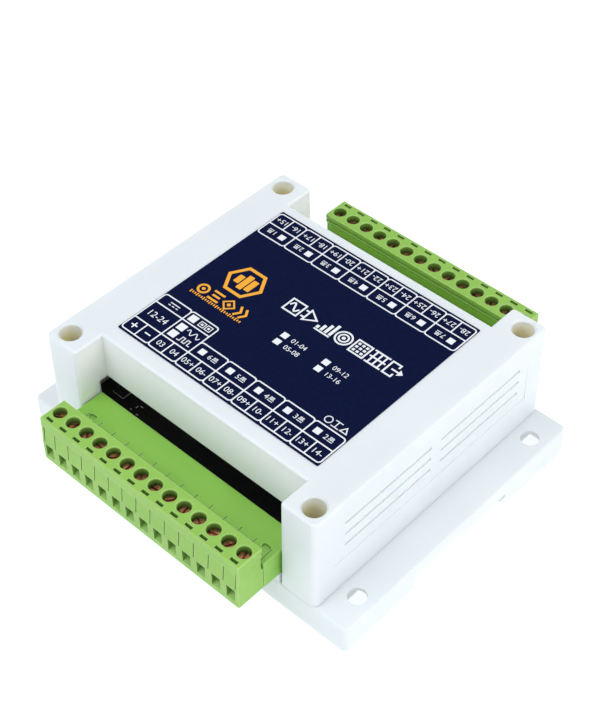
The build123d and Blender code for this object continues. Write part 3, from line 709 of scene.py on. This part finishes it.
def draw_block_cells(white, left, right, rows):
    """Cells of one block. rows holds (low, high, columns) from its foot to its head."""
    for i, (low, high, columns) in enumerate(rows):
        width = (right - left) / columns
        is_foot = i == 0
        is_head = i == len(rows) - 1
        for column in range(columns):
            x = (left + column * width, left + (column + 1) * width)
            west = column == 0
            east = column == columns - 1
            corners = (is_foot and west, is_foot and east, is_head and east, is_head and west)
            white.draw([cell_hole(x, (low, high), corners)])


def channel_mark(cx, cy):
    """The small mark that stands after a channel's number: a pulse over a base line."""
    return square_wave(cx, cy + 0.25, 1.7, 0.9, 0.2) + bar(cx, cy - 0.75, 1.7, 0.22)


def draw_channel(white, number, centre, middle, places, turned=False):
    """The box, the number and the mark in a channel's wide cell."""
    box_x, number_x, mark_x = (centre + place for place in places)
    mark = channel_mark(mark_x, middle)
    white.draw(bar(box_x, middle, CHECK_BOX, CHECK_BOX))
    white.number(str(number), number_x, middle, SMALL_DIGIT, turned)
    white.draw(turned_round(mark, mark_x, middle) if turned else mark)


def draw_poles(white, first, centre, column, height, signs=True, turned=False):
    """The numbers of the two poles of a block, with or without signs."""
    plus, minus = ("+", "-") if signs else ("", "")
    white.number(f"{first:02d}{plus}", centre - column / 2, height, DIGIT, turned)
    white.number(f"{first + 1:02d}{minus}", centre + column / 2, height, DIGIT, turned)


def draw_front_rows(white, edges, low):
    """The power and channel cells beside the front terminals."""
    first = low + ROW
    second = first + ROW
    supply_foot = first + SUPPLY_ROW
    supply_head = supply_foot + SUPPLY_CAP
    tops = [supply_head] * SUPPLY_BLOCKS + [second] * (BLOCKS - SUPPLY_BLOCKS)
    white.draw([block_row_outline(edges, low, tops)])
    column = (edges[1] - edges[0]) / 2
    middle_low = (low + first) / 2
    for i in range(BLOCKS):
        rows = [(low, first, 2), (first, second, 1)]
        if i < SUPPLY_BLOCKS:
            rows = [(low, first, 2), (first, supply_foot, 1), (supply_foot, supply_head, 1)]
        draw_block_cells(white, edges[i], edges[i + 1], rows)
        centre = edges[i] + column
        if i >= SUPPLY_BLOCKS:
            channel = BLOCKS - 1 + SUPPLY_BLOCKS - i
            draw_channel(white, channel, centre, (first + second) / 2, FRONT_CHANNEL)
            draw_poles(white, 2 * i + 1, centre, column, middle_low)

    sign_line = 0.42
    plus_x = edges[0] + column / 2
    white.draw([plus_sign(plus_x, middle_low, 2.1, sign_line)])
    white.draw(bar(plus_x + column, middle_low, 2.0, sign_line))
    draw_poles(white, 3, edges[1] + column, column, middle_low, signs=False)

    supply_middle = (first + supply_foot) / 2
    cap_middle = (supply_foot + supply_head) / 2
    draw_supply_cells(white, edges[0] + column, supply_middle, cap_middle)
    draw_bus_cells(white, edges[1] + column, supply_middle, cap_middle)


def draw_supply_cells(white, centre, middle, cap_middle):
    """The voltage range, under the sign for direct current: a line over three dashes."""
    line = 0.3
    white.number("12-24", centre, middle, SUPPLY_DIGIT)
    white.draw(bar(centre, cap_middle + 0.45, 3.4, line))
    for offset in (-1.3, 0.0, 1.3):
        white.draw(bar(centre + offset, cap_middle - 0.45, 0.8, line))


def draw_bus_cells(white, centre, middle, cap_middle):
    """Three boxes, with a pulse, a wave and two socket signs beside them."""
    box_x = centre - 2.77
    sign_x = centre + 1.5
    line = 0.28
    pulse_y = middle - 1.6
    wave_y = middle + 1.5
    white.draw(bar(box_x, pulse_y, BIG_CHECK_BOX, BIG_CHECK_BOX))
    white.draw(square_wave(sign_x, pulse_y, 4.6, 1.6, line))
    white.draw(bar(box_x, wave_y, BIG_CHECK_BOX, BIG_CHECK_BOX))
    white.draw(wave(sign_x, wave_y, 4.6, 1.6, line, 2.0, 40))
    white.draw(bar(box_x, cap_middle, BIG_CHECK_BOX, BIG_CHECK_BOX))
    for socket_x in (centre + 0.5, centre + 2.85):
        white.draw(box_line(socket_x, cap_middle, 2.0, 2.0, 0.26))
        white.draw(bar(socket_x, cap_middle, 0.7, 0.7))


def plus_sign(cx, cy, size, line):
    """One outline of an upright cross."""
    a = size / 2
    b = line / 2
    quarter = [(a, -b), (a, b), (b, b)]
    outline = []
    for turn in range(4):
        c = round(math.cos(turn * math.pi / 2))
        s = round(math.sin(turn * math.pi / 2))
        outline += [(cx + c * x - s * y, cy + s * x + c * y) for x, y in quarter]
    return outline


def draw_rear_rows(white, edges, high):
    """The channel cells beside the rear terminals, which read from behind."""
    second = high - ROW
    first = second - ROW
    white.draw([block_row_outline(edges, first, [high] * BLOCKS)])
    column = (edges[1] - edges[0]) / 2
    middle_high = (high + second) / 2
    middle = (first + second) / 2
    for i in range(BLOCKS):
        centre = edges[i] + column
        draw_rear_block(white, edges[i], edges[i + 1], first, second, high)
        draw_channel(white, i + 1, centre, middle, REAR_CHANNEL, turned=True)
        draw_poles(white, 2 * (BLOCKS + i) + 1, centre, column, middle_high, turned=True)


def draw_rear_block(white, left, right, first, second, high):
    """One wide cell with two narrow ones above it."""
    middle = (left + right) / 2
    white.draw([cell_hole((left, right), (first, second), (True, True, False, False))])
    white.draw([cell_hole((left, middle), (second, high), (False, False, False, True))])
    white.draw([cell_hole((middle, right), (second, high), (False, False, True, False))])


def title_signs(line):
    """Seven plain circuit signs, each filling a square about the origin."""
    half = 2.6
    size = 2 * half
    inner = half - line / 2
    signal = box_line(0, 0, size, size, line) + wave(0, 0, 3.3, 2.6, line)

    amplifier = [[(-1.6, -half), (half, 0), (-1.6, half)]]
    amplifier += [[(-1.05, -1.75), (1.6, 0), (-1.05, 1.75)]]
    amplifier += bar(-2.1, 1.2, 1.0, line) + bar(-2.1, -1.2, 1.0, line)

    levels = bar(0, -inner, size, line)
    for i in range(4):
        height = 1.1 + i * 1.15
        levels += bar(-half + 0.45 + i * 1.43, -half + line + 0.25 + height / 2, 0.9, height)

    dial = ring(0, 0, half, line) + ring(0, 0, half - 1.0, line) + polygon(0, 0, 0.55, 16)

    grid = box_line(0, 0, size, size, line)
    for x in (-1.3, 0.0, 1.3):
        for y in (-1.3, 0.0, 1.3):
            grid += bar(x, y, 0.8, 0.8)

    filter_sign = []
    for y in (inner, 0.0, -inner):
        filter_sign += bar(0, y, size, line)
    for x in (-1.6, 0.0, 1.6):
        filter_sign += bar(x, inner / 2, line, inner - line)
        filter_sign += bar(x, -inner / 2, line, inner - line)

    return [signal, amplifier, levels, dial, grid, filter_sign, output_sign(half, line)]


def output_sign(half, line):
    """An arrow out of a box that is open on its right."""
    side = 0.6             # where the open side's ends stand
    gap = 1.2              # half the opening, and the root of the arrow's head
    edge = half - line
    box = [(-half, -half), (side, -half), (side, -gap), (side - line, -gap), (side - line, -edge),
           (-edge, -edge), (-edge, edge), (side - line, edge), (side - line, gap), (side, gap),
           (side, half), (-half, half)]
    arrow = [(-1.1, -line / 2), (gap, -line / 2), (gap, -gap), (half, 0), (gap, gap),
             (gap, line / 2), (-1.1, line / 2)]
    return [box, arrow]


def draw_middle(white, orange):
    """The label's open middle: a row of signs, four ranges, small signs, and the orange emblem."""
    for i, sign in enumerate(title_signs(TITLE_LINE)):
        white.draw(moved(sign, TITLE_X + i * TITLE_STEP, TITLE_Y))
    for x, y, text in RANGES:
        white.draw(bar(x, y, CHECK_BOX, CHECK_BOX))
        white.number(text, x + RANGE_TEXT_X, y, RANGE_DIGIT)
    draw_small_signs(white, SMALL_SIGNS_Y)
    draw_emblem(orange, EMBLEM_X, EMBLEM_Y)
    draw_emblem_signs(orange, EMBLEM_SIGNS_Y)
    for i in range(TICKS):
        height = 1.1 if i % 3 == 0 else 0.75
        orange.draw(bar(TICK_X + i * TICK_STEP, TICK_Y, 0.4, height))


def draw_small_signs(white, cy):
    """A ring, a double bar on a stem, and a triangle."""
    line = 0.28
    white.draw(ring(27.0, cy, 1.2, line, 20))
    white.draw(bar(29.7, cy + 1.05, 2.4, line) + bar(29.7, cy - 1.05, 2.4, line))
    white.draw(bar(29.7, cy, line, 1.82))
    triangle_y = cy - 0.35
    white.draw(polygon(32.4, triangle_y, 1.5, 3, 90) + polygon(32.4, triangle_y, 0.85, 3, 90))


def draw_emblem(orange, cx, cy):
    """A hexagon round three bars."""
    orange.draw(ring(cx, cy, 6.2, 1.15, 6))
    for i, height in enumerate((3.2, 6.0, 4.6)):
        left = cx - 3.1 + i * 2.2
        right = cx - 1.3 + i * 2.2
        orange.draw([rounded_rect((left, right), (cy - height / 2, cy + height / 2), (0.3,) * 4)])


def draw_emblem_signs(orange, cy):
    """Four plain signs in a row: a dial, three bars, a diamond and two arrow heads."""
    half = 1.9
    line = 0.7
    orange.draw(ring(-28.9, cy, half, line, 24) + polygon(-28.9, cy, 0.55, 16))
    for offset, width in ((1.5, 3.8), (0.0, 2.6), (-1.5, 3.8)):
        orange.draw(bar(-24.2, cy + offset, width, line))
    orange.draw(ring(-19.5, cy, half + 0.4, line, 4) + polygon(-19.5, cy, 0.7, 4))
    for offset in (-1.5, 0.4):
        back = -14.9 + offset
        orange.draw(stroke([(back, cy + half), (-13.7 + offset, cy), (back, cy - half)], line))


def make_label(materials):
    """A film that stands for the CAD label, with its printing on top."""
    low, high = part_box("label")
    x = (low.x / MM, high.x / MM)
    y = (low.y / MM, high.y / MM)
    foot = low.z / MM
    face = high.z / MM - INK - UNDER_TOP
    outline = rounded_rect(x, y, (FILM_CORNER,) * 4)
    film = flat_piece("label_film", [mesh_from_outlines([outline])], foot, face, "case",
                      materials["label_film"])
    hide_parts("label")

    block = (x[1] - x[0] - 2 * MARGIN_X) / BLOCKS
    edges = [x[0] + MARGIN_X + i * block for i in range(BLOCKS + 1)]
    white = Print()
    orange = Print()
    draw_front_rows(white, edges, y[0] + MARGIN_Y)
    draw_rear_rows(white, edges, y[1] - MARGIN_Y)
    draw_middle(white, orange)
    white.piece("label_print_white", face, face + INK, "label_film", materials["ink_white"])
    orange.piece("label_print_orange", face, face + INK, "label_film", materials["ink_orange"])


# ---------------------------------------------------------------- board print

def make_board_print(materials):
    """The fuse's outline and pad marks, where the gap beside the front header shows the board."""
    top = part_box("pcb")[1].z / MM
    low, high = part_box("input_fuse")
    cx = (low.x + high.x) / 2 / MM
    cy = (low.y + high.y) / 2 / MM
    width = (high.x - low.x) / MM + 2 * FUSE_MARGIN
    depth = (high.y - low.y) / MM + 2 * FUSE_MARGIN
    shapes = box_line(cx, cy, width, depth, BOARD_LINE)
    for mark in PAD_MARKS:
        shapes += bar(*mark)
    flat_piece("board_print", [mesh_from_outlines(shapes)], top, top + INK, "case",
               materials["board_print"])


# ---------------------------------------------------------------- moulding marks

def make_moulding_marks(materials):
    """Ejector rings and the gate's stub on the roof of the rail groove."""
    openings = frame["record"]["physics"]["openings"]
    groove = next(opening["box_m"] for opening in openings if opening["name"] == "rail_groove")
    low_x, high_x = groove[0][0] / MM, groove[1][0] / MM
    low_y, high_y = groove[0][1] / MM, groove[1][1] / MM
    inset_x, inset_y = EJECTOR_INSET
    root = GROOVE_ROOF + MARK_ROOT
    rings = []
    for x in (low_x + inset_x, low_x * EJECTOR_INNER, high_x * EJECTOR_INNER, high_x - inset_x):
        for y in (low_y + inset_y, high_y - inset_y):
            rings += ring(x, y, EJECTOR_RADIUS, EJECTOR_LINE, 32)
    flat_piece("ejector_marks", [mesh_from_outlines(rings)], GROOVE_ROOF - EJECTOR_DROP, root,
               "case", materials["white_abs"])
    stub = polygon(0, (low_y + high_y) / 2, GATE_RADIUS, 24)
    flat_piece("gate_stub", [mesh_from_outlines(stub)], GROOVE_ROOF - GATE_DROP, root, "case",
               materials["white_abs"])


# ---------------------------------------------------------------- rail clip's spring

def make_clip_spring(materials):
    """A coil that stands for the CAD spring."""
    low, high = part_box("clip_spring")
    coil = finished_piece("clip_spring_coil", coil_form(low, high), "case",
                          materials["spring_steel"])
    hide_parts("clip_spring")
    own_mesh(coil)


def coil_form(low, high):
    """A round wire wound along Y that fills the box between two corners."""
    middle = (low + high) / 2
    wire = SPRING_WIRE * MM
    radius = (high.z - low.z) / 2 - wire
    climb = high.y - low.y - 2 * wire
    steps = SPRING_TURNS * SPRING_STEPS
    angles = [math.tau * corner / SPRING_SIDES for corner in range(SPRING_SIDES)]
    form = bmesh.new()
    rings = []
    for step in range(steps + 1):
        turn = math.tau * step / SPRING_STEPS
        cos, sin = math.cos(turn), math.sin(turn)
        out = Vector((cos, 0, sin))
        along = Vector((-sin * radius, climb / (math.tau * SPRING_TURNS), cos * radius))
        side = along.normalized().cross(out)
        centre = Vector((middle.x, low.y + wire + climb * step / steps, middle.z)) + radius * out
        corners = [centre + wire * (math.cos(a) * out + math.sin(a) * side) for a in angles]
        rings.append([form.verts.new(corner) for corner in corners])
    for first, second in zip(rings, rings[1:]):
        for a, b, c, d in zip(first, first[1:] + first[:1], second[1:] + second[:1], second):
            form.faces.new((a, b, c, d)).smooth = True
    form.faces.new(rings[0])
    form.faces.new(rings[-1])
    bmesh.ops.recalc_face_normals(form, faces=form.faces)
    return form


# ---------------------------------------------------------------- studio

def make_camera():
    """The camera on its orbit, looking at its aim."""
    azimuth = math.radians(CAMERA_AZIMUTH)
    elevation = math.radians(CAMERA_ELEVATION)
    reach = math.cos(elevation)
    back = Vector((math.sin(azimuth) * reach, -math.cos(azimuth) * reach, math.sin(elevation)))
    right = Vector((math.cos(azimuth), math.sin(azimuth), 0))
    level = Matrix((right, back.cross(right), back)).transposed()
    place = level @ Matrix.Rotation(math.radians(CAMERA_ROLL), 3, "Z")
    camera = bpy.data.objects.new("camera", bpy.data.cameras.new("camera"))
    camera.data.lens = CAMERA_LENS
    camera.data.sensor_width = CAMERA_SENSOR
    camera.data.clip_start = 0.01
    camera.matrix_world = (Matrix.Translation((Vector(CAMERA_AIM) + back * CAMERA_DISTANCE) * MM)
                           @ place.to_4x4())
    bpy.context.scene.collection.objects.link(camera)
    bpy.context.scene.camera = camera


def softbox(name, place, size, watts, colour):
    """A large square area light that faces the object."""
    light = bpy.data.lights.new(name, "AREA")
    light.shape = "SQUARE"
    light.size = size
    light.energy = watts
    light.color = colour
    holder = bpy.data.objects.new(name, light)
    holder.location = place
    holder.rotation_euler = (Vector(LIGHT_AIM) - Vector(place)).to_track_quat("-Z", "Y").to_euler()
    bpy.context.scene.collection.objects.link(holder)


def make_studio():
    """A pale floor, a soft sky that is brighter overhead, and two softboxes."""
    world = bpy.data.worlds.new("studio")
    world.use_nodes = True
    tree = world.node_tree
    direction = tree.nodes.new("ShaderNodeTexCoord")
    split = tree.nodes.new("ShaderNodeSeparateXYZ")
    overhead = tree.nodes.new("ShaderNodeMapRange")
    overhead.inputs["To Min"].default_value = SKY_HORIZON
    overhead.inputs["To Max"].default_value = SKY_ZENITH
    background = tree.nodes["Background"]
    background.inputs["Color"].default_value = (*SKY_COLOUR, 1)
    tree.links.new(direction.outputs["Generated"], split.inputs["Vector"])
    tree.links.new(split.outputs["Z"], overhead.inputs["Value"])
    tree.links.new(overhead.outputs["Result"], background.inputs["Strength"])
    bpy.context.scene.world = world
    bpy.context.scene.view_settings.view_transform = "Standard"

    softbox("right_box", (0.85, 0.15, 0.45), 0.7, 3.2, (0.98, 0.99, 1.0))
    softbox("front_box", (-0.15, -0.55, 0.65), 0.6, 2.2, (0.87, 0.93, 1.0))

    bpy.ops.mesh.primitive_circle_add(vertices=96, radius=FLOOR_RADIUS, fill_type="NGON",
                                      location=(0, 0, 0))
    floor = bpy.context.object
    floor.name = "floor"
    pale = Surface("floor_pale", roughness=0.7)
    pale.colour(pale.ramp(pale.noise(60, 2.0), 0.3, 0.7, FLOOR_TONES))
    pale.shader.inputs["Emission Color"].default_value = (*FLOOR_GLOW_COLOUR, 1)
    pale.shader.inputs["Emission Strength"].default_value = FLOOR_GLOW
    floor.data.materials.append(pale.material)


materials = make_materials()
dress_cad_nodes(materials)
make_label(materials)
make_board_print(materials)
make_moulding_marks(materials)
make_clip_spring(materials)
make_studio()
make_camera()
